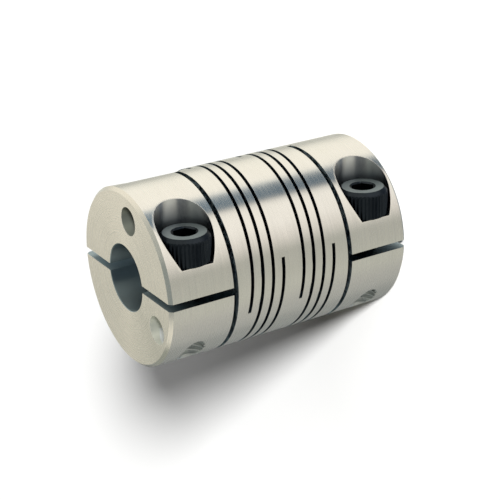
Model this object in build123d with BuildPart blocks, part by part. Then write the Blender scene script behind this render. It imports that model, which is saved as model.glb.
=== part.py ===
from build123d import *
import math
import os

# Beam coupling, standing on the end face of its lower hub, in millimetres and degrees.
# The bore axis is Z, the screw heads face +X and the screws draw the hubs shut on the -Y side.
# The two hubs are mirror images of each other, except that the upper one is a little longer.

# Turned body
body_diameter = 25.4
body_length = 38.1
edge_chamfer = 0.45

# Bore: a reamed seat for the shaft in each hub, and a wider relief under the beams
bore_diameter = 9.525
bore_chamfer = 0.1
relief_step = 0.5

# Hubs: a saw cut across frees each one from the beams, and a slit along the bore splits it in two
hub_length = 9.35
upper_hub_extra_length = 0.28
hub_cut_width = 0.7
hub_cut_past_axis = 2.4
clamp_slit_width = 1.05

# Helical beams: two sets of cuts through the wall, each with several starts on one left-handed helix.
# The sets fill the length that the hub cuts, the rings beside them and the ring in the middle leave.
# The rings beside the hub cuts are measured from the lower one, and the two sets are even about the middle.
beam_starts = 3
beam_cut_turn = 392.0
beam_cut_width = 0.51
beam_cut_end_angle = -77.0
ring_beside_hub_cut = 1.95
middle_ring_length = 2.3
beam_facets = 18

# Clamp screws: socket head cap screws
thread_diameter = 4.0
screw_length = 10.0
screw_tip_chamfer = 0.4
head_diameter = 7.0
head_height = 4.0
head_chamfer = 0.5
socket_across_flats = 3.0
socket_depth = 2.0

# Seats of the screws in the hubs
screw_past_mid_wall = 0.02
head_seat_height = 4.5
head_clearance = 0.4
shank_clearance = 0.2

# Balance holes in each end face: a deep one beside the screw head, a shallow one over the thread
balance_hole_diameter = 4.0
deep_hole_wall = 1.58
deep_hole_angle = -13.2
deep_hole_depth = 6.5
shallow_hole_wall = 1.09
shallow_hole_angle = -118.9
shallow_hole_floor = 0.8

# How far a cutting shape runs on past the surface that it cuts
overshoot = 1.0
blade_clearance = 0.1

# Radii and places that follow from the sizes above
body_radius = body_diameter / 2
bore_radius = bore_diameter / 2
relief_radius = bore_radius + relief_step
clearance_hole_radius = thread_diameter / 2 + shank_clearance
counterbore_radius = head_diameter / 2 + head_clearance
screw_from_axis = (bore_radius + body_radius) / 2 + screw_past_mid_wall
shallow_hole_depth = hub_length / 2 - thread_diameter / 2 - shallow_hole_floor
deep_hole_radius = body_radius - deep_hole_wall - balance_hole_diameter / 2
shallow_hole_radius = body_radius - shallow_hole_wall - balance_hole_diameter / 2
hub_lengths = {"lower": hub_length, "upper": hub_length + upper_hub_extra_length}
middle_plane = Plane.XY.offset(body_length / 2)
beam_set_bottom = hub_length + hub_cut_width + ring_beside_hub_cut
beam_set_height = (body_length - middle_ring_length) / 2 - beam_set_bottom

# Shapes to cut away for each hub, both set out from the lower end face; the upper ones are mirrored later
cuts_of_hub = {}
for hub, length in hub_lengths.items():
    with BuildPart() as hub_cuts:
        # Saw cut across the bore, entering from the clamped side and stopping beyond the axis
        saw_reach = body_radius + overshoot + hub_cut_past_axis
        saw_centre = hub_cut_past_axis - saw_reach / 2
        with BuildSketch(Plane.XY.offset(length)):
            with Locations((0, saw_centre)):
                Rectangle(body_diameter + 2 * overshoot, saw_reach)
        extrude(amount=hub_cut_width)

        # Clamp slit from the end face into the saw cut, through the wall on both sides of the bore
        with BuildSketch(Plane.XY.offset(-overshoot)):
            Rectangle(clamp_slit_width, body_diameter + 2 * overshoot)
        extrude(amount=length + hub_cut_width / 2 + overshoot)

        # Screw hole in three steps: counterbore for the head, clearance hole to the slit, thread below it
        screw_axis = Plane(origin=(0, -screw_from_axis, length / 2), x_dir=(0, 1, 0), z_dir=(1, 0, 0))
        with BuildSketch(screw_axis.offset(head_seat_height)):
            Circle(counterbore_radius)
        extrude(amount=body_radius)
        with BuildSketch(screw_axis):
            Circle(clearance_hole_radius)
        extrude(amount=head_seat_height)
        with BuildSketch(screw_axis):
            Circle(thread_diameter / 2)
        extrude(amount=-body_radius)

        # Balance holes, flat at the bottom
        with BuildSketch(Plane.XY):
            with PolarLocations(deep_hole_radius, 1, start_angle=deep_hole_angle):
                Circle(balance_hole_diameter / 2)
        extrude(amount=deep_hole_depth)
        with BuildSketch(Plane.XY):
            with PolarLocations(shallow_hole_radius, 1, start_angle=shallow_hole_angle):
                Circle(balance_hole_diameter / 2)
        extrude(amount=shallow_hole_depth)
    cuts_of_hub[hub] = hub_cuts.part

# Helical blade that opens one beam cut of the lower set: a strip of the wall, as high as the cut is wide.
# It is one flat wedge for each step along the helix. The wedges meet on the helix where they leave the body,
# and differ in height by less than half the width of the cut where they reach the bore.
facet_turn = beam_cut_turn / beam_facets
facet_rise = (beam_set_height - beam_cut_width) / beam_facets
blade_outside = body_radius / math.cos(math.radians(facet_turn / 2)) + blade_clearance
with BuildPart() as beam_blade:
    for step in range(beam_facets):
        wedge_corners = []
        for radius, side in ((bore_radius, 0), (blade_outside, 0), (blade_outside, 1), (bore_radius, 1)):
            corner_rise = facet_rise * (step + 0.5 + (side - 0.5) * radius / body_radius)
            corner = Vector(radius, 0, beam_set_bottom + corner_rise)
            wedge_corners.append(corner.rotate(Axis.Z, -facet_turn * (step + side)))
        extrude(Face(Wire.make_polygon(wedge_corners)), amount=beam_cut_width, dir=(0, 0, 1))

# Coupling body: turned and bored, then drilled, sawn and cut into beams
with BuildPart() as coupling_body:
    with BuildSketch(Plane.XY):
        Circle(body_radius)
    extrude(amount=body_length)
    chamfer(coupling_body.edges().filter_by(GeomType.CIRCLE), edge_chamfer)
    with BuildSketch(Plane.XY):
        Circle(bore_radius)
    extrude(amount=body_length, mode=Mode.SUBTRACT)
    chamfer(coupling_body.faces().filter_by(Axis.Z).edges().filter_by(lambda e: e.radius < body_radius / 2),
            bore_chamfer)
    with BuildSketch(Plane.XY.offset(hub_lengths["lower"] + hub_cut_width / 2)):
        Circle(relief_radius)
    extrude(amount=body_length - sum(hub_lengths.values()) - hub_cut_width, mode=Mode.SUBTRACT)

    add(cuts_of_hub["lower"], mode=Mode.SUBTRACT)
    mirror(cuts_of_hub["upper"], about=middle_plane, mode=Mode.SUBTRACT)

    for set_rise in (0, beam_set_height + middle_ring_length):
        with Locations((0, 0, set_rise)):
            with PolarLocations(0, beam_starts, start_angle=beam_cut_end_angle):
                add(beam_blade.part, mode=Mode.SUBTRACT)

coupling_body.part.label = "coupling_body"
os.makedirs("parts", exist_ok=True)
export_step(coupling_body.part, "parts/coupling_body.step")

# Clamp screws, one in each hub: head down on its seat, shank through the slit into the thread
screw_heights = {
    "lower_clamp_screw": hub_lengths["lower"] / 2,
    "upper_clamp_screw": body_length - hub_lengths["upper"] / 2,
}
for screw_name, screw_height in screw_heights.items():
    seat = Plane(
        origin=(head_seat_height, -screw_from_axis, screw_height),
        x_dir=(0, 1, 0),
        z_dir=(1, 0, 0),
    )
    with BuildPart() as clamp_screw:
        # Head, chamfered round its top
        with BuildSketch(seat):
            Circle(head_diameter / 2)
        extrude(amount=head_height)
        chamfer(clamp_screw.faces().sort_by(Axis.X)[-1].edges(), head_chamfer)

        # Hex socket
        with BuildSketch(seat.offset(head_height)):
            RegularPolygon(socket_across_flats / 2, 6, major_radius=False)
        extrude(amount=-socket_depth, mode=Mode.SUBTRACT)

        # Threaded shank, at the outer diameter of its thread
        with BuildSketch(seat):
            Circle(thread_diameter / 2)
        extrude(amount=-screw_length)
        chamfer(clamp_screw.faces().sort_by(Axis.X)[0].edges(), screw_tip_chamfer)

    clamp_screw.part.label = screw_name
    export_step(clamp_screw.part, "parts/" + screw_name + ".step")
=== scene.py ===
# %% [markdown]
# # A beam coupling, dressed for its picture
#
# The real object joins the ends of two shafts. It is turned from one bar of aluminium: a clamp hub at each
# end, and between them a wall that is cut through along six helical lines, so that it bends like a spring.
# A socket head cap screw draws each hub shut.
#
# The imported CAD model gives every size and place. This script gives it the looks: the finish that a lathe
# leaves on aluminium, the knurled black screws with their threads, and the studio.

import bpy
import numpy as np
from mathutils import Matrix, Vector


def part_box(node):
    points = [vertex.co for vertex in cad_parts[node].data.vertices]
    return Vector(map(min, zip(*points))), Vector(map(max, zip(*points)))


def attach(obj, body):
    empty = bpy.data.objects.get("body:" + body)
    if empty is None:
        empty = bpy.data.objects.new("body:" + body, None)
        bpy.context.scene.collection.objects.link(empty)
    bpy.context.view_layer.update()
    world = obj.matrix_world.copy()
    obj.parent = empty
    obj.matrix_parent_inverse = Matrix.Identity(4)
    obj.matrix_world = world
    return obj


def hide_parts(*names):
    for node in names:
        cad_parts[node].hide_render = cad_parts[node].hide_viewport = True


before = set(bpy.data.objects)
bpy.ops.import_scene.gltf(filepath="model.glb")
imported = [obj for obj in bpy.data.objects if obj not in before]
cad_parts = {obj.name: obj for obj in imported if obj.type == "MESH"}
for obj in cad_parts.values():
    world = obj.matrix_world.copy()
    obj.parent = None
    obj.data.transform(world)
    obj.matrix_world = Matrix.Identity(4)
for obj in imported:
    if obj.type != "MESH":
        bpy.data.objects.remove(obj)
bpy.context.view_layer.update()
MM = 0.001
print("packed nodes:", sorted(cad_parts))

# %% [markdown]
# ## Three helpers
#
# Colours are written as people pick them, as sRGB hex values. Blender calculates with linear light, so one
# function converts them. Another adds a shader node, sets its values and makes its links in one call, which
# keeps each material short enough to read. The third starts a material with no nodes.

# %% Colour, node and material helpers
def linear(hex_colour, alpha=1.0):
    """Linear RGBA of an sRGB hex colour: below 0.04045 a channel is divided by 12.92, and above it the
    channel plus 0.055 is divided by 1.055 and raised to the power 2.4."""
    srgb = np.array([int(hex_colour[i:i + 2], 16) for i in (1, 3, 5)]) / 255
    channels = np.where(srgb <= 0.04045, srgb / 12.92, ((srgb + 0.055) / 1.055) ** 2.4)
    return (*channels.tolist(), alpha)


def add_node(tree, kind, settings=None, **inputs):
    """Adds a shader node. settings are the node's own properties. Each input is named as on the node with
    underscores for spaces, or in0, in1... by its place, and takes a value or another node's output."""
    node = tree.nodes.new(kind)
    for key, value in (settings or {}).items():
        setattr(node, key, value)
    for key, value in inputs.items():
        by_place = key[:2] == "in" and key[2:].isdigit()
        socket = node.inputs[int(key[2:])] if by_place else node.inputs[key.replace("_", " ")]
        if isinstance(value, bpy.types.NodeSocket):
            tree.links.new(value, socket)
        else:
            socket.default_value = value
    return node


def empty_material(name):
    """A new material that has no nodes yet, and the tree that they go into."""
    material = bpy.data.materials.new(name)
    material.use_nodes = True
    material.node_tree.nodes.clear()
    return material, material.node_tree


COLOUR_MIX = {"data_type": "RGBA"}
SMOOTH_STEP = {"interpolation_type": "SMOOTHSTEP"}
print("middle grey #808080 in linear light is", round(linear("#808080")[0], 3))

# %% [markdown]
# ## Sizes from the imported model
#
# The patterns and the new pieces have to lie where the CAD pieces are, so their measures are read from the
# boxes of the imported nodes. Both screws lie alike, parallel to X, and differ only in how high they are. A
# screw's head is a standard one, 7 mm wide and 4 mm high, so its axis lies half that width below the
# highest y of its box, and its seat lies one height below its top.

# %% Measures of the body and the screws
HEAD_RADIUS, HEAD_HEIGHT = 3.5 * MM, 4.0 * MM
body_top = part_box("coupling_body")[1]
BODY_RADIUS, BODY_LENGTH = body_top[0], body_top[2]
screw_boxes = {hub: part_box(hub + "_clamp_screw") for hub in ("upper", "lower")}
SCREW_AXIS_Z = {hub: (low[2] + high[2]) / 2 for hub, (low, high) in screw_boxes.items()}
screw_low, screw_high = screw_boxes["upper"]
SCREW_AXIS_Y = screw_high[1] - HEAD_RADIUS
TIP, HEAD_TOP = screw_low[0], screw_high[0]
SEAT = HEAD_TOP - HEAD_HEIGHT
print("body radius and length in mm:", round(BODY_RADIUS / MM, 2), round(BODY_LENGTH / MM, 2))
print("screws in mm: axis y", round(SCREW_AXIS_Y / MM, 3), "tip, seat and top at x",
      [round(x / MM, 2) for x in (TIP, SEAT, HEAD_TOP)])

# %% [markdown]
# ## The camera
#
# The photograph was taken with a long lens, from in front of one hub and a little above. Its camera was
# found by matching the circles and edges of the model to the picture. The coupling stands on one end here,
# while in the photograph it lies on its side, so the camera is turned to show it lying down.

# %% Camera
camera_data = bpy.data.cameras.new("photo_camera")
camera_data.sensor_width = 36.0
camera_data.lens = 99.713
camera_data.clip_start = 0.01
camera = bpy.data.objects.new("photo_camera", camera_data)
bpy.context.scene.collection.objects.link(camera)
camera_right = Vector((-0.0363403, -0.5233333, -0.8513528))
camera_up = Vector((0.9227625, 0.3094826, -0.2296299))
camera_back = camera_right.cross(camera_up)
camera.matrix_world = Matrix((camera_right, camera_up, camera_back)).transposed().to_4x4()
camera.location = Vector((75.2785, -157.4951, 111.8095)) * MM
bpy.context.scene.camera = camera
print("camera at", [round(c / MM, 1) for c in camera.location], "mm, lens", camera_data.lens, "mm")

# %% [markdown]
# ## The studio
#
# Metal has no look of its own: it shows what stands round it. A product photographer works with large white
# panels and leaves a dark gap between two of them, which draws a dark band along a shiny cylinder and makes
# it look round. The same is done here with a world whose colour changes with the direction. A direction is
# given by its compass angle, in degrees from +X towards +Y, and by its rise, which is 1 straight up, 0 at
# the horizon and -1 straight down.

# %% World: directions
world = bpy.data.worlds.new("studio")
bpy.context.scene.world = world
world.use_nodes = True
sky = world.node_tree
sky.nodes.clear()
direction = add_node(sky, "ShaderNodeTexCoord").outputs["Generated"]
parts = add_node(sky, "ShaderNodeSeparateXYZ", Vector=direction).outputs
compass = add_node(sky, "ShaderNodeMath", {"operation": "ARCTAN2"}, in0=parts["Y"], in1=parts["X"]).outputs[0]
rise = parts["Z"]
print("world named", world.name)

# %% [markdown]
# The panels stand all round. The brightest ones are over the side that the screw heads face, and the room
# gets greyer behind the coupling. A colour ramp holds their colours: its 0 is at -180 degrees and its 1 is
# at 180.

# %% World: panels
PANEL_STOPS = [
    # compass angle, colour
    (-180, "#A2A4A0"), (-150, "#AFAFA9"), (-130, "#C2C2B6"), (-83, "#B9B8AD"), (-65, "#EEE8DE"),
    (-45, "#FFFAF1"), (55, "#FFFBEE"), (68, "#F2F0E4"), (78, "#B4B5AD"), (86, "#B4B5AD"), (97, "#E0E1D7"),
    (128, "#757878"), (150, "#939693"),
]
turn = add_node(sky, "ShaderNodeMapRange", Value=compass, From_Min=-np.pi, From_Max=np.pi).outputs[0]
panels = add_node(sky, "ShaderNodeValToRGB", Fac=turn)
ramp = panels.color_ramp
while len(ramp.elements) < len(PANEL_STOPS):
    ramp.elements.new(0.5)
for stop, (degrees, colour) in zip(ramp.elements, PANEL_STOPS):
    stop.position = (degrees + 180) / 360
    stop.color = linear(colour)
print("panels with", len(ramp.elements), "stops round the compass")

# %% [markdown]
# The gap between two of the panels is nearly straight towards +X, the side that the screw heads face. It is
# blue-grey, and darker further down.

# %% World: dark gap
# The compass angle of its middle, and how many degrees from there it begins to fade and is gone
GAP_ANGLE = -1.5
GAP_SIDES = 9.5, 15.5
# The rises between which the first colour turns into the second
GAP_RISES = -0.38, -0.48
GAP_COLOURS = "#8299A8", "#1C3448"
from_gap = add_node(sky, "ShaderNodeMath", {"operation": "SUBTRACT"}, in0=compass,
                    in1=np.radians(GAP_ANGLE))
beside_gap = add_node(sky, "ShaderNodeMath", {"operation": "ABSOLUTE"}, in0=from_gap.outputs[0]).outputs[0]
in_gap = add_node(sky, "ShaderNodeMapRange", SMOOTH_STEP, Value=beside_gap, From_Min=np.radians(GAP_SIDES[0]),
                  From_Max=np.radians(GAP_SIDES[1]), To_Min=1.0, To_Max=0.0).outputs[0]
# Inputs 7 to 10 of a Map Range node are its two pairs of limits for vectors
gap_colour = add_node(sky, "ShaderNodeMapRange", {"data_type": "FLOAT_VECTOR"}, Vector=rise,
                      in7=(GAP_RISES[0],) * 3, in8=(GAP_RISES[1],) * 3,
                      in9=linear(GAP_COLOURS[0])[:3], in10=linear(GAP_COLOURS[1])[:3]).outputs["Vector"]
walls = add_node(sky, "ShaderNodeMix", COLOUR_MIX, in0=in_gap, A=panels.outputs["Color"], B=gap_colour)
print("gap", 2 * GAP_SIDES[0], "degrees wide, with soft sides")

# %% [markdown]
# Above the horizon is a warm ceiling, which the end face mirrors. It darkens to one side, and the limit
# leans over as it rises, so that the end face is darkest at the bottom of the picture. On the camera's side
# the room above the horizon is dark, and that draws the dark band in the pocket of each screw head. Straight
# up it is grey.

# %% World: ceiling
# Degrees that the limit leans over for a rise of 1, and where it begins and ends at a rise of 0
CEILING_LEAN = -60.0
CEILING_DARKENS = 86.0, 101.0
# The compass angle of its middle, and how many degrees from there it begins to fade and is gone
ROOM_ANGLE = -95.0
ROOM_SIDES = 32.0, 46.0
OVERHEAD_RISES = 0.66, 0.82
leaning = add_node(sky, "ShaderNodeMath", {"operation": "MULTIPLY_ADD"}, in0=rise,
                   in1=np.radians(CEILING_LEAN), in2=compass).outputs[0]
to_dark_side = add_node(sky, "ShaderNodeMapRange", Value=leaning, From_Min=np.radians(CEILING_DARKENS[0]),
                        From_Max=np.radians(CEILING_DARKENS[1])).outputs[0]
ceiling = add_node(sky, "ShaderNodeMix", COLOUR_MIX, in0=to_dark_side, A=linear("#F0EAD9"),
                   B=linear("#919489")).outputs[2]
from_room = add_node(sky, "ShaderNodeMath", {"operation": "SUBTRACT"}, in0=compass,
                     in1=np.radians(ROOM_ANGLE))
beside_room = add_node(sky, "ShaderNodeMath", {"operation": "ABSOLUTE"}, in0=from_room.outputs[0]).outputs[0]
in_room = add_node(sky, "ShaderNodeMapRange", SMOOTH_STEP, Value=beside_room,
                   From_Min=np.radians(ROOM_SIDES[0]), From_Max=np.radians(ROOM_SIDES[1]),
                   To_Min=1.0, To_Max=0.0).outputs[0]
with_room = add_node(sky, "ShaderNodeMix", COLOUR_MIX, in0=in_room, A=ceiling, B=linear("#4A5158")).outputs[2]
overhead = add_node(sky, "ShaderNodeMapRange", SMOOTH_STEP, Value=rise, From_Min=OVERHEAD_RISES[0],
                    From_Max=OVERHEAD_RISES[1]).outputs[0]
above = add_node(sky, "ShaderNodeMix", COLOUR_MIX, in0=overhead, A=with_room, B=linear("#959B95")).outputs[2]
print("ceiling grey from a rise of", OVERHEAD_RISES[1])

# %% [markdown]
# The parts are joined by their rise: the ceiling above the horizon, the walls below it, and a grey-blue
# floor straight down. Only metal gets to see them. The camera sees plain white, and matt surfaces get little
# light from the world, so that the shadow on the floor stays deep.

# %% World: what the metal, the camera and matt surfaces see
HORIZON_RISES = -0.05, 0.16
UNDERFOOT_RISES = -0.73, -0.86
past_horizon = add_node(sky, "ShaderNodeMapRange", SMOOTH_STEP, Value=rise, From_Min=HORIZON_RISES[0],
                        From_Max=HORIZON_RISES[1]).outputs[0]
walls_and_above = add_node(sky, "ShaderNodeMix", COLOUR_MIX, in0=past_horizon, A=walls.outputs[2], B=above)
underfoot = add_node(sky, "ShaderNodeMapRange", SMOOTH_STEP, Value=rise, From_Min=UNDERFOOT_RISES[0],
                     From_Max=UNDERFOOT_RISES[1]).outputs[0]
mirrored = add_node(sky, "ShaderNodeMix", COLOUR_MIX, in0=underfoot, A=walls_and_above.outputs[2],
                    B=linear("#7C8690")).outputs[2]
seen_by = add_node(sky, "ShaderNodeLightPath").outputs
for_metal = add_node(sky, "ShaderNodeMix", COLOUR_MIX, in0=seen_by["Is Glossy Ray"], A=linear("#2C2C2C"),
                     B=mirrored).outputs[2]
shown = add_node(sky, "ShaderNodeMix", COLOUR_MIX, in0=seen_by["Is Camera Ray"], A=for_metal,
                 B=linear("#FFFFFF")).outputs[2]
glow = add_node(sky, "ShaderNodeBackground", Color=shown, Strength=1.0)
add_node(sky, "ShaderNodeOutputWorld", Surface=glow.outputs[0])
print("world of", len(sky.nodes), "nodes")

# %% [markdown]
# The floor is a white sheet, so large that its edge is out of the picture. The camera sees it a little
# lighter than it is lit, which makes it white all over, and its shadow stays. It doesn't show in the metal,
# which has the world to mirror.

# %% Floor
FLOOR_RADIUS = 1.5
bpy.ops.mesh.primitive_circle_add(vertices=96, radius=FLOOR_RADIUS, fill_type="NGON", location=(0, 0, 0))
floor = bpy.context.object
floor.name = "white_floor"
floor.visible_glossy = False
paper, sheet = empty_material("white_paper")
matt = add_node(sheet, "ShaderNodeBsdfDiffuse", Color=linear("#EDEDEC"))
seen = add_node(sheet, "ShaderNodeLightPath").outputs["Is Camera Ray"]
lift = add_node(sheet, "ShaderNodeEmission", Color=linear("#141414"), Strength=seen)
both = add_node(sheet, "ShaderNodeAddShader", in0=matt.outputs[0], in1=lift.outputs[0])
add_node(sheet, "ShaderNodeOutputMaterial", Surface=both.outputs[0])
floor.data.materials.append(paper)
print("floor", 2 * FLOOR_RADIUS, "m across")

# %% [markdown]
# Wide, far lamps light the scene, all from over the side that the screw heads face, which is the top of the
# photograph. The low one stands almost behind the camera, so that its long soft shadow lies close below the
# coupling in the picture. The lamps don't show in the metal either.

# %% Lamps
LAMPS = {
    # compass angle and height in degrees, strength, and how wide the lamp looks in degrees
    "low_lamp": (-52.0, 21.0, 9.0, 11.0),
    "middle_lamp": (-37.0, 27.0, 0.7, 22.0),
    "high_lamp": (-8.0, 42.0, 0.5, 34.0),
}
for name, (angle, lamp_height, strength, width) in LAMPS.items():
    angle, lamp_height = np.radians(angle), np.radians(lamp_height)
    level = np.cos(lamp_height)
    light_from = Vector((np.cos(angle) * level, np.sin(angle) * level, np.sin(lamp_height)))
    lamp_data = bpy.data.lights.new(name, "SUN")
    lamp_data.angle = np.radians(width)
    lamp_data.energy = strength
    lamp = bpy.data.objects.new(name, lamp_data)
    bpy.context.scene.collection.objects.link(lamp)
    lamp.location = light_from
    lamp.rotation_euler = light_from.to_track_quat("Z", "Y").to_euler()
    lamp.visible_glossy = False
print(len(LAMPS), "lamps")

# %% [markdown]
# ## Turned aluminium
#
# The body is bare aluminium, left as the tools left it. The lathe draws fine rings round the outside and
# fine circles on the end faces, and light smears across those grooves, but not along them: that is the work
# of an anisotropic reflection. The other surfaces are bored, sawn, milled, drilled or tapped, and each has a
# tint and a gloss of its own; in the cuts, the holes and the pockets that tint is partly painted shade. Which
# surface a point is on follows from how far it is from the bore axis, from the ends and from the axes of the
# screws and holes, so the material needs no second slot.

# %% Material: turned aluminium
aluminium, alu = empty_material("turned_aluminium_bare")
place = add_node(alu, "ShaderNodeTexCoord").outputs["Object"]
xyz = add_node(alu, "ShaderNodeSeparateXYZ", Vector=place).outputs
flat = add_node(alu, "ShaderNodeCombineXYZ", X=xyz["X"], Y=xyz["Y"]).outputs[0]
radius = add_node(alu, "ShaderNodeVectorMath", {"operation": "LENGTH"}, in0=flat).outputs["Value"]
above_middle = add_node(alu, "ShaderNodeMath", {"operation": "SUBTRACT"}, in0=xyz["Z"],
                        in1=BODY_LENGTH / 2).outputs[0]
from_middle = add_node(alu, "ShaderNodeMath", {"operation": "ABSOLUTE"}, in0=above_middle).outputs[0]
print("material", aluminium.name)

# %% [markdown]
# The lathe has been on the end faces, the outside and the chamfers between them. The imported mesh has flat
# faces between its corners, which lie a little inside the true round, so the outside is a band with some
# depth, in which only what faces outwards counts: a hole's wall begins in that band too.

# %% Where the lathe has been
END_BAND, OUTSIDE_BAND, CHAMFER_BAND = 0.02 * MM, 0.35 * MM, 0.5 * MM
LEAST_COSINE = 0.85
on_end = add_node(alu, "ShaderNodeMath", {"operation": "GREATER_THAN"}, in0=from_middle,
                  in1=BODY_LENGTH / 2 - END_BAND).outputs[0]
far_out = add_node(alu, "ShaderNodeMath", {"operation": "GREATER_THAN"}, in0=radius,
                   in1=BODY_RADIUS - OUTSIDE_BAND).outputs[0]
outwards = add_node(alu, "ShaderNodeVectorMath", {"operation": "NORMALIZE"}, in0=flat).outputs[0]
facing = add_node(alu, "ShaderNodeNewGeometry").outputs["True Normal"]
cosine = add_node(alu, "ShaderNodeVectorMath", {"operation": "DOT_PRODUCT"}, in0=facing, in1=outwards)
looks_out = add_node(alu, "ShaderNodeMath", {"operation": "GREATER_THAN"}, in0=cosine.outputs["Value"],
                     in1=LEAST_COSINE).outputs[0]
outside = add_node(alu, "ShaderNodeMath", {"operation": "MULTIPLY"}, in0=far_out, in1=looks_out).outputs[0]
reach = add_node(alu, "ShaderNodeMath", {"operation": "ADD"}, in0=radius, in1=from_middle).outputs[0]
on_chamfer = add_node(alu, "ShaderNodeMath", {"operation": "GREATER_THAN"}, in0=reach,
                      in1=BODY_RADIUS + BODY_LENGTH / 2 - CHAMFER_BAND).outputs[0]
either = add_node(alu, "ShaderNodeMath", {"operation": "MAXIMUM"}, in0=on_end, in1=outside).outputs[0]
turned = add_node(alu, "ShaderNodeMath", {"operation": "MAXIMUM"}, in0=either, in1=on_chamfer).outputs[0]
print("turned: the ends, the outside and the chamfers")

# %% [markdown]
# A screw's hole has two visible ends: the milled pocket round its head, and the tapped thread beyond its
# tip. Both screws are nearly as far from the middle of the body, so one distance does for both. The reach
# is a little more than the pocket's radius of 3.9 mm.

# %% Pockets and tapped holes
POCKET_REACH = 4.05 * MM
HOLE_MARGIN = 0.1 * MM
SCREW_FROM_MIDDLE = (SCREW_AXIS_Z["upper"] - SCREW_AXIS_Z["lower"]) / 2
past_screw = add_node(alu, "ShaderNodeMath", {"operation": "SUBTRACT"}, in0=xyz["Y"], in1=SCREW_AXIS_Y)
beside_screw = add_node(alu, "ShaderNodeMath", {"operation": "SUBTRACT"}, in0=from_middle,
                        in1=SCREW_FROM_MIDDLE)
off_screw = add_node(alu, "ShaderNodeCombineXYZ", X=past_screw.outputs[0], Y=beside_screw.outputs[0])
from_screw = add_node(alu, "ShaderNodeVectorMath", {"operation": "LENGTH"}, in0=off_screw.outputs[0])
near_screw = add_node(alu, "ShaderNodeMath", {"operation": "LESS_THAN"}, in0=from_screw.outputs["Value"],
                      in1=POCKET_REACH).outputs[0]
head_side = add_node(alu, "ShaderNodeMath", {"operation": "GREATER_THAN"}, in0=xyz["X"],
                     in1=SEAT - HOLE_MARGIN).outputs[0]
pocket = add_node(alu, "ShaderNodeMath", {"operation": "MULTIPLY"}, in0=near_screw, in1=head_side).outputs[0]
tip_side = add_node(alu, "ShaderNodeMath", {"operation": "LESS_THAN"}, in0=xyz["X"],
                    in1=TIP + HOLE_MARGIN).outputs[0]
tapped = add_node(alu, "ShaderNodeMath", {"operation": "MULTIPLY"}, in0=near_screw, in1=tip_side).outputs[0]
print("pockets and threads", round(SCREW_FROM_MIDDLE / MM, 2), "mm from the middle")

# %% [markdown]
# Each end face has two drilled balance holes, a deep one and a shallow one, 4 mm wide. Their reach is a
# little more than their radius.

# %% Drilled holes
DEEP_HOLE = 8.88 * MM, -2.08 * MM, 0.0
SHALLOW_HOLE = -4.64 * MM, -8.41 * MM, 0.0
DRILL_REACH = 2.03 * MM
from_deep, from_shallow = [
    add_node(alu, "ShaderNodeVectorMath", {"operation": "DISTANCE"}, in0=flat, in1=centre).outputs["Value"]
    for centre in (DEEP_HOLE, SHALLOW_HOLE)
]
nearest = add_node(alu, "ShaderNodeMath", {"operation": "MINIMUM"}, in0=from_deep, in1=from_shallow)
drilled = add_node(alu, "ShaderNodeMath", {"operation": "LESS_THAN"}, in0=nearest.outputs[0],
                   in1=DRILL_REACH).outputs[0]
drilled_deep = add_node(alu, "ShaderNodeMath", {"operation": "LESS_THAN"}, in0=from_deep,
                        in1=DRILL_REACH).outputs[0]
print("two drilled holes in each end")

# %% [markdown]
# The grooves are a noise that is stretched along them: it changes once in each turn of the feed across them
# and slowly round the body. Their rings follow one another along the height on the outside, and along the
# radius on the ends. A finishing cut feeds about 0.05 mm a turn, which is too fine to show here, so the
# rings are drawn nearly three times as coarse. A bump turns them into light and shade, and it starts from a
# truly round surface on the outside, which hides the flat faces of the mesh.

# %% Grooves
FEED = 0.14 * MM
CHANGES_ALONG = 0.12 / MM
CUT_BUMP, TURNED_BUMP = 0.04, 0.11
BUMP_HEIGHT = 0.01 * MM
across = add_node(alu, "ShaderNodeMix", {"data_type": "FLOAT"}, in0=on_end, A=xyz["Z"], B=radius).outputs[0]
groove_turn = add_node(alu, "ShaderNodeMath", {"operation": "DIVIDE"}, in0=across, in1=FEED).outputs[0]
along = add_node(alu, "ShaderNodeVectorMath", {"operation": "SCALE"}, in0=flat, Scale=CHANGES_ALONG)
grooves = add_node(alu, "ShaderNodeTexNoise", {"noise_dimensions": "4D"}, Vector=along.outputs[0],
                   W=groove_turn, Scale=1.0, Detail=3.0, Roughness=0.6).outputs["Fac"]
bump_strength = add_node(alu, "ShaderNodeMix", {"data_type": "FLOAT"}, in0=turned, A=CUT_BUMP,
                         B=TURNED_BUMP).outputs[0]
as_meshed = add_node(alu, "ShaderNodeNewGeometry").outputs["Normal"]
truly_round = add_node(alu, "ShaderNodeMix", {"data_type": "VECTOR"}, in0=outside, A=as_meshed,
                       B=outwards).outputs[1]
grooved = add_node(alu, "ShaderNodeBump", Height=grooves, Strength=bump_strength, Distance=BUMP_HEIGHT,
                   Normal=truly_round).outputs[0]
print("rings", round(FEED / MM, 2), "mm apart")
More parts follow.
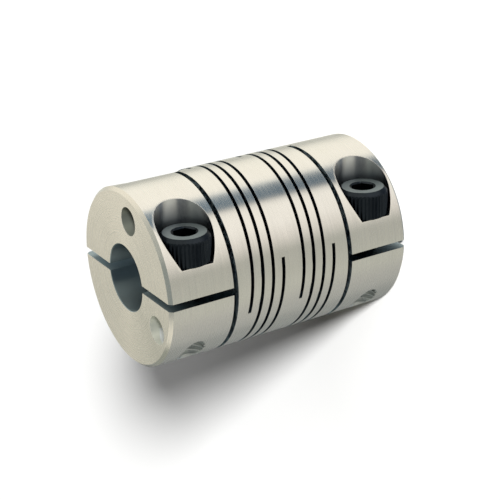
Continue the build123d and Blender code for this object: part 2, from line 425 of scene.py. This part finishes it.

# %% [markdown]
# Turned aluminium is nearly white, with faint blotches 2 mm across, where coolant has dried. The bored and
# sawn surfaces are duller, and drawn darker and bluish, which is painted shade in the cuts; the tapped thread
# is lighter. The deep drilled hole is greyer than the shallow one, which is painted shade in the deeper hole.
# In the pockets the wall is painted dark beside the head, as shade, and gets brighter towards its mouth.

# %% Tints and painted shade
BLOTCHES = 0.5 / MM
SHADED_BELOW, UNSHADED_ABOVE = HEAD_TOP + 0.1 * MM, BODY_RADIUS - 1.4 * MM
blotches = add_node(alu, "ShaderNodeTexNoise", Vector=place, Scale=BLOTCHES, Detail=3.0).outputs["Fac"]
turned_tint = add_node(alu, "ShaderNodeMix", COLOUR_MIX, in0=blotches, A=linear("#F1EFEA"),
                       B=linear("#F8F6F2")).outputs[2]
# Painted shade: the deep drilled hole is drawn greyer than the shallow one, for the shade deep inside it.
drilled_tint_with_shade = add_node(alu, "ShaderNodeMix", COLOUR_MIX, in0=drilled_deep, A=linear("#D9DBD0"),
                        B=linear("#90958B")).outputs[2]
# Painted shade: bores, slits and saw cuts are drawn darker and bluish than turned metal, for the shade inside
# the cuts.
bored_and_drilled_tint_with_shade = add_node(alu, "ShaderNodeMix", COLOUR_MIX, in0=drilled, A=linear("#A5B7C2"),
                      B=drilled_tint_with_shade).outputs[2]
tapped_tint = add_node(alu, "ShaderNodeMix", COLOUR_MIX, in0=tapped, A=bored_and_drilled_tint_with_shade,
                       B=linear("#E5E8E8")).outputs[2]
# Painted shade: the pocket wall is drawn dark beside the head and lighter towards the mouth.
shade_fades_to_mouth = add_node(alu, "ShaderNodeMapRange", Value=xyz["X"], From_Min=SHADED_BELOW,
                    From_Max=UNSHADED_ABOVE).outputs[0]
pocket_painted_shade = add_node(alu, "ShaderNodeMix", COLOUR_MIX, in0=shade_fades_to_mouth, A=linear("#7E868F"),
                       B=linear("#FBFBFB")).outputs[2]
cut_tint = add_node(alu, "ShaderNodeMix", COLOUR_MIX, in0=pocket, A=tapped_tint, B=pocket_painted_shade).outputs[2]
tint = add_node(alu, "ShaderNodeMix", COLOUR_MIX, in0=turned, A=cut_tint, B=turned_tint).outputs[2]
print("tints for turned, bored, drilled, tapped and milled metal")

# %% [markdown]
# The turned surfaces are the glossiest, and a little duller where the grooves are higher. A drill tears the
# metal somewhat, so its holes are partly matt. The smear of the reflection has a direction: it goes across
# the lathe's grooves, which the Z axis gives on the outside and the tilt of the grooves on the ends. In the
# pockets the cutter's marks run round the wall, so there the smear goes along the screw's axis, and what the
# wall mirrors becomes bands along that axis.

# %% Gloss, and the finished metal
LOW_AND_HIGH_GROOVE = 0.3, 0.7
TURNED_ROUGHNESS = 0.22, 0.31
CUT_ROUGHNESS, POCKET_ROUGHNESS = 0.42, 0.34
METAL_IN_DRILLED = 0.85
turned_roughness = add_node(alu, "ShaderNodeMapRange", Value=grooves, From_Min=LOW_AND_HIGH_GROOVE[0],
                            From_Max=LOW_AND_HIGH_GROOVE[1], To_Min=TURNED_ROUGHNESS[0],
                            To_Max=TURNED_ROUGHNESS[1]).outputs[0]
cut_roughness = add_node(alu, "ShaderNodeMix", {"data_type": "FLOAT"}, in0=pocket, A=CUT_ROUGHNESS,
                         B=POCKET_ROUGHNESS).outputs[0]
roughness = add_node(alu, "ShaderNodeMix", {"data_type": "FLOAT"}, in0=turned, A=cut_roughness,
                     B=turned_roughness).outputs[0]
smear = add_node(alu, "ShaderNodeMix", {"data_type": "VECTOR"}, in0=pocket, A=(0.0, 0.0, 1.0),
                 B=(1.0, 0.0, 0.0)).outputs[1]
metallic = add_node(alu, "ShaderNodeMapRange", Value=drilled, To_Min=1.0, To_Max=METAL_IN_DRILLED).outputs[0]
metal = add_node(alu, "ShaderNodeBsdfPrincipled", Base_Color=tint, Metallic=metallic,
                 Roughness=roughness, Anisotropic=0.9, Normal=grooved, Tangent=smear)
add_node(alu, "ShaderNodeOutputMaterial", Surface=metal.outputs[0])
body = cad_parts["coupling_body"]
body.data.materials[0] = aluminium
print("turned aluminium on", body.name)

# %% [markdown]
# ## Black oxide steel
#
# The screws are hardened steel, blackened in a hot salt bath and oiled. The oxide is thin and dark, with a
# dull sheen of its own, and slightly mottled. The real mottle is as fine as the steel's grain, some
# hundredths of a millimetre, which is too fine to show, so it is drawn with spots of 0.4 mm.

# %% Material: black oxide steel
OXIDE_SPOTS = 2.5 / MM
OXIDE_ROUGHNESS = 0.26, 0.38
black_oxide, oxide = empty_material("black_oxide_steel_oiled")
place = add_node(oxide, "ShaderNodeTexCoord").outputs["Object"]
mottle = add_node(oxide, "ShaderNodeTexNoise", Vector=place, Scale=OXIDE_SPOTS, Detail=4.0).outputs["Fac"]
shade = add_node(oxide, "ShaderNodeMix", COLOUR_MIX, in0=mottle, A=linear("#292F36"), B=linear("#393F47"))
sheen = add_node(oxide, "ShaderNodeMapRange", Value=mottle, To_Min=OXIDE_ROUGHNESS[0],
                 To_Max=OXIDE_ROUGHNESS[1])
grain = add_node(oxide, "ShaderNodeBump", Height=mottle, Strength=0.15, Distance=BUMP_HEIGHT)
steel = add_node(oxide, "ShaderNodeBsdfPrincipled", Base_Color=shade.outputs[2], Metallic=1.0,
                 Roughness=sheen.outputs[0], Normal=grain.outputs[0])
add_node(oxide, "ShaderNodeOutputMaterial", Surface=steel.outputs[0])
print("material", black_oxide.name)

# %% [markdown]
# The flat top of each head is faced after the knurl is rolled. There the steel is smooth, and the same thin
# oxide is painted much paler: a painted sheen for the light that the smooth top mirrors. Its mottle is drawn
# a little coarser again, because it is fainter.

# %% Material: black oxide steel, faced, with painted sheen
FACED_SPOTS = 1.8 / MM
faced_oxide_painted_sheen, faced = empty_material("black_oxide_steel_faced_painted_sheen")
place = add_node(faced, "ShaderNodeTexCoord").outputs["Object"]
mottle = add_node(faced, "ShaderNodeTexNoise", Vector=place, Scale=FACED_SPOTS, Detail=4.0).outputs["Fac"]
# Painted sheen: the faced top is drawn much paler than the knurled oxide, for the light that its smooth face
# mirrors.
shade = add_node(faced, "ShaderNodeMix", COLOUR_MIX, in0=mottle, A=linear("#8A959B"), B=linear("#98A3A8"))
grain = add_node(faced, "ShaderNodeBump", Height=mottle, Strength=0.1, Distance=BUMP_HEIGHT)
steel = add_node(faced, "ShaderNodeBsdfPrincipled", Base_Color=shade.outputs[2], Metallic=1.0, Roughness=0.45,
                 Normal=grain.outputs[0])
add_node(faced, "ShaderNodeOutputMaterial", Surface=steel.outputs[0])
print("material", faced_oxide_painted_sheen.name)

# %% [markdown]
# ## Screws with knurl and thread
#
# Each screw is one closed skin round its own axis, which is parallel to X. The skin is a grid: one parameter
# goes round the axis, the other follows the outline from the tip over the thread and the head down into the
# socket. A function turns any such grid of places and radii into a mesh. The order of the corners makes
# every face look outwards, because the outline always has the metal on the same side.

# %% Skins round a screw's axis
TURN_POINTS = 240
round_axis = np.linspace(0.0, 2.0 * np.pi, TURN_POINTS, endpoint=False)


def skin_round_axis(name, angles, places, radii, axis_z, closed):
    """Mesh of a skin round a screw's axis. Row i, column k of the two grids gives how far along X the point
    is and how far from the axis, at turning angle k. Point = (place, axis y + radius x cosine of the angle,
    axis z + radius x sine of the angle). A closed skin joins its last row to its first, like a ring; an
    open one is closed at each end by a fan of triangles round a point on the axis."""
    rows, columns = places.shape
    points = np.stack([places, SCREW_AXIS_Y + radii * np.cos(angles), axis_z + radii * np.sin(angles)],
                      axis=-1).reshape(-1, 3)
    number = np.arange(rows * columns).reshape(rows, columns)
    if closed:
        number = np.vstack([number, number[:1]])
    beside = np.roll(number, -1, axis=1)
    quads = np.stack([number[:-1], beside[:-1], beside[1:], number[1:]], axis=-1).reshape(-1, 4)
    faces = quads.tolist()
    if not closed:
        poles = np.array([[places[end].mean(), SCREW_AXIS_Y, axis_z] for end in (0, -1)])
        points = np.vstack([points, poles])
        first, last = rows * columns, rows * columns + 1
        faces += np.stack([beside[0], number[0], np.full(columns, first)], axis=-1).tolist()
        faces += np.stack([number[-1], beside[-1], np.full(columns, last)], axis=-1).tolist()
    mesh = bpy.data.meshes.new(name)
    mesh.from_pydata(points.tolist(), [], faces)
    piece = bpy.data.objects.new(name, mesh)
    bpy.context.scene.collection.objects.link(piece)
    return piece


def thread_radius(places, angles, crest, root, pitch):
    """Radius of a right-handed thread. The distance from the nearest crest, in pitches, grows from 0 to a
    half. The radius stays at the crest up to a sixteenth, falls in a straight flank, and stays at the root
    from three eighths on: the 60 degree profile of a metric thread."""
    from_crest = np.abs((places / pitch - angles / (2.0 * np.pi) + 0.5) % 1.0 - 0.5)
    return crest + (root - crest) * np.clip((from_crest - 1 / 16) / (5 / 16), 0.0, 1.0)


print("skins of", TURN_POINTS, "points round")

# %% [markdown]
# The shank has an M4 thread with a pitch of 0.7 mm. It is 10 mm long from the seat, and its tip is
# chamfered: the outline stays under a line that widens from the tip.

# %% Outline of the shank
CREST, ROOT, PITCH = 1.98 * MM, 1.57 * MM, 0.7 * MM
TIP_RADIUS, TIP_WIDENING = 1.55 * MM, 0.8
SHANK_ROWS = 121
shank_places = np.linspace(TIP, SEAT, SHANK_ROWS)[:, None] + 0.0 * round_axis
tip_limit = TIP_RADIUS + TIP_WIDENING * (shank_places - TIP)
shank_radii = np.minimum(thread_radius(shank_places, round_axis, CREST, ROOT, PITCH), tip_limit)
print("shank", round((SEAT - TIP) / MM, 2), "mm long, thread M4 with a pitch of", PITCH / MM, "mm")

# %% [markdown]
# The head's knurl has 40 ridges, each a wave round the head. It begins above the seat and fades out at the
# shoulder under the faced top.

# %% Outline of the head
RIDGES, RIDGE_DEPTH = 40, 0.13 * MM
HEAD_STEPS = np.array([
    # height above the seat in mm, radius in mm, share of the knurl's depth
    (0.00, 3.30, 0.0), (0.06, 3.40, 0.3), (0.20, 3.50, 1.0), (3.10, 3.50, 1.0), (3.28, 3.49, 0.8),
    (3.42, 3.45, 0.3), (3.54, 3.38, 0.0), (3.80, 3.15, 0.0), (3.92, 3.04, 0.0), (3.98, 2.98, 0.0),
])
ridge_wave = 0.5 - 0.5 * np.cos(RIDGES * round_axis)
head_places = SEAT + HEAD_STEPS[:, 0, None] * MM + 0.0 * round_axis
head_radii = HEAD_STEPS[:, 1, None] * MM - HEAD_STEPS[:, 2, None] * RIDGE_DEPTH * ridge_wave
print("head with", RIDGES, "ridges", round(RIDGE_DEPTH / MM, 2), "mm deep")

# %% [markdown]
# The hex socket takes a 3 mm key. Its mouth is countersunk, so that it is round at the top and hexagonal
# below. A hexagon's radius is half its width across flats, divided by the cosine of the angle to the middle
# of the nearest flat.

# %% Outline of the socket
FACED_RADIUS, MOUTH_RADIUS, HEX_APOTHEM = 2.95 * MM, 1.84 * MM, 1.5 * MM
full_circle = np.ones(TURN_POINTS)
hex_radius = HEX_APOTHEM / np.cos((round_axis + np.pi / 6) % (np.pi / 3) - np.pi / 6)
SOCKET_STEPS = [
    # depth below the top in mm, radius
    (0.00, FACED_RADIUS * full_circle), (0.00, MOUTH_RADIUS * full_circle),
    (0.02, (MOUTH_RADIUS - 0.02 * MM) * full_circle), (0.20, hex_radius), (2.00, hex_radius),
]
socket_depths = np.array([depth for depth, radii in SOCKET_STEPS])
socket_places = HEAD_TOP - socket_depths[:, None] * MM + 0.0 * round_axis
socket_radii = np.array([radii for depth, radii in SOCKET_STEPS])
print("socket", socket_depths[-1], "mm deep and", round(2 * HEX_APOTHEM / MM, 2), "mm across flats")

# %% [markdown]
# The three outlines are put one after the other, from the tip to the socket's floor. The faces of the flat
# top, one row of them, get the paler oxide with its painted sheen. Each screw takes the place of the plain
# CAD one.

# %% Two screws in place of the plain ones
screw_places = np.vstack([shank_places, head_places, socket_places])
screw_radii = np.vstack([shank_radii, head_radii, socket_radii])
faced_row = len(shank_places) + len(head_places)
for hub, axis_z in SCREW_AXIS_Z.items():
    screw = skin_round_axis(hub + "_knurled_screw", round_axis, screw_places, screw_radii, axis_z,
                            closed=False)
    screw.data.materials.append(black_oxide)
    screw.data.materials.append(faced_oxide_painted_sheen)
    slots = np.zeros(len(screw.data.polygons), dtype=np.int32)
    slots[faced_row * TURN_POINTS:(faced_row + 1) * TURN_POINTS] = 1
    screw.data.polygons.foreach_set("material_index", slots)
    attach(screw, "root")
    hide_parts(hub + "_clamp_screw")
    print(screw.name, "has", len(screw.data.polygons), "faces")

# %% [markdown]
# ## Threads in the tapped holes
#
# Each screw hole goes on through the hub and comes out on the far side, where its thread can be seen beyond
# the screw's tip. The thread is a ring that lines the hole, from the tip to the outside of the hub. The
# outside is round, so the hole's mouth is a curve: at each turning angle it lies where the hub's own circle
# is met. The ring starts there, just below the surface.

# %% Where the tapped holes leave the hub
THREAD_POINTS = 120
HOLE_CREST, HOLE_ROOT, HOLE_WALL = 1.63 * MM, 1.95 * MM, 1.985 * MM
BELOW_SURFACE = 0.03 * MM
round_hole = round_axis[::TURN_POINTS // THREAD_POINTS]


def hub_surface(from_axis):
    """Place along X where points at this distance from the screw's axis leave the hub: minus the root of the
    hub's radius squared less the point's y squared, with a radius that is a little less than the real one."""
    y = SCREW_AXIS_Y + from_axis * np.cos(round_hole)
    return -np.sqrt((BODY_RADIUS - BELOW_SURFACE) ** 2 - y ** 2)


mouth = np.maximum(hub_surface(HOLE_CREST), hub_surface(HOLE_WALL))
print("mouths at x from", round(mouth.min() / MM, 2), "to", round(mouth.max() / MM, 2), "mm")

# %% [markdown]
# The rows of a ring go from the mouth along the thread to the screw's tip, and two more at the radius of
# the hole's wall close it. They are turned round at the end, so that the faces look out of the ring.

# %% Thread rings
THREAD_ROWS = 97
share = np.linspace(0.0, 1.0, THREAD_ROWS)[:, None]
ring_places = mouth + share * (TIP - mouth)
ring_radii = thread_radius(ring_places, round_hole, HOLE_ROOT, HOLE_CREST, PITCH)
ring_places = np.vstack([ring_places, ring_places[-1:], mouth[None]])[::-1]
ring_radii = np.vstack([ring_radii, np.full((2, THREAD_POINTS), HOLE_WALL)])[::-1]
for hub, axis_z in SCREW_AXIS_Z.items():
    ring = skin_round_axis(hub + "_tapped_thread", round_hole, ring_places, ring_radii, axis_z, closed=True)
    ring.data.materials.append(aluminium)
    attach(ring, "root")
    print(ring.name, "has", len(ring.data.polygons), "faces")

# %% [markdown]
# ## Colours as written
#
# The Standard view shows each colour as it was calculated, without a film curve.

# %% View
bpy.context.scene.view_settings.view_transform = "Standard"
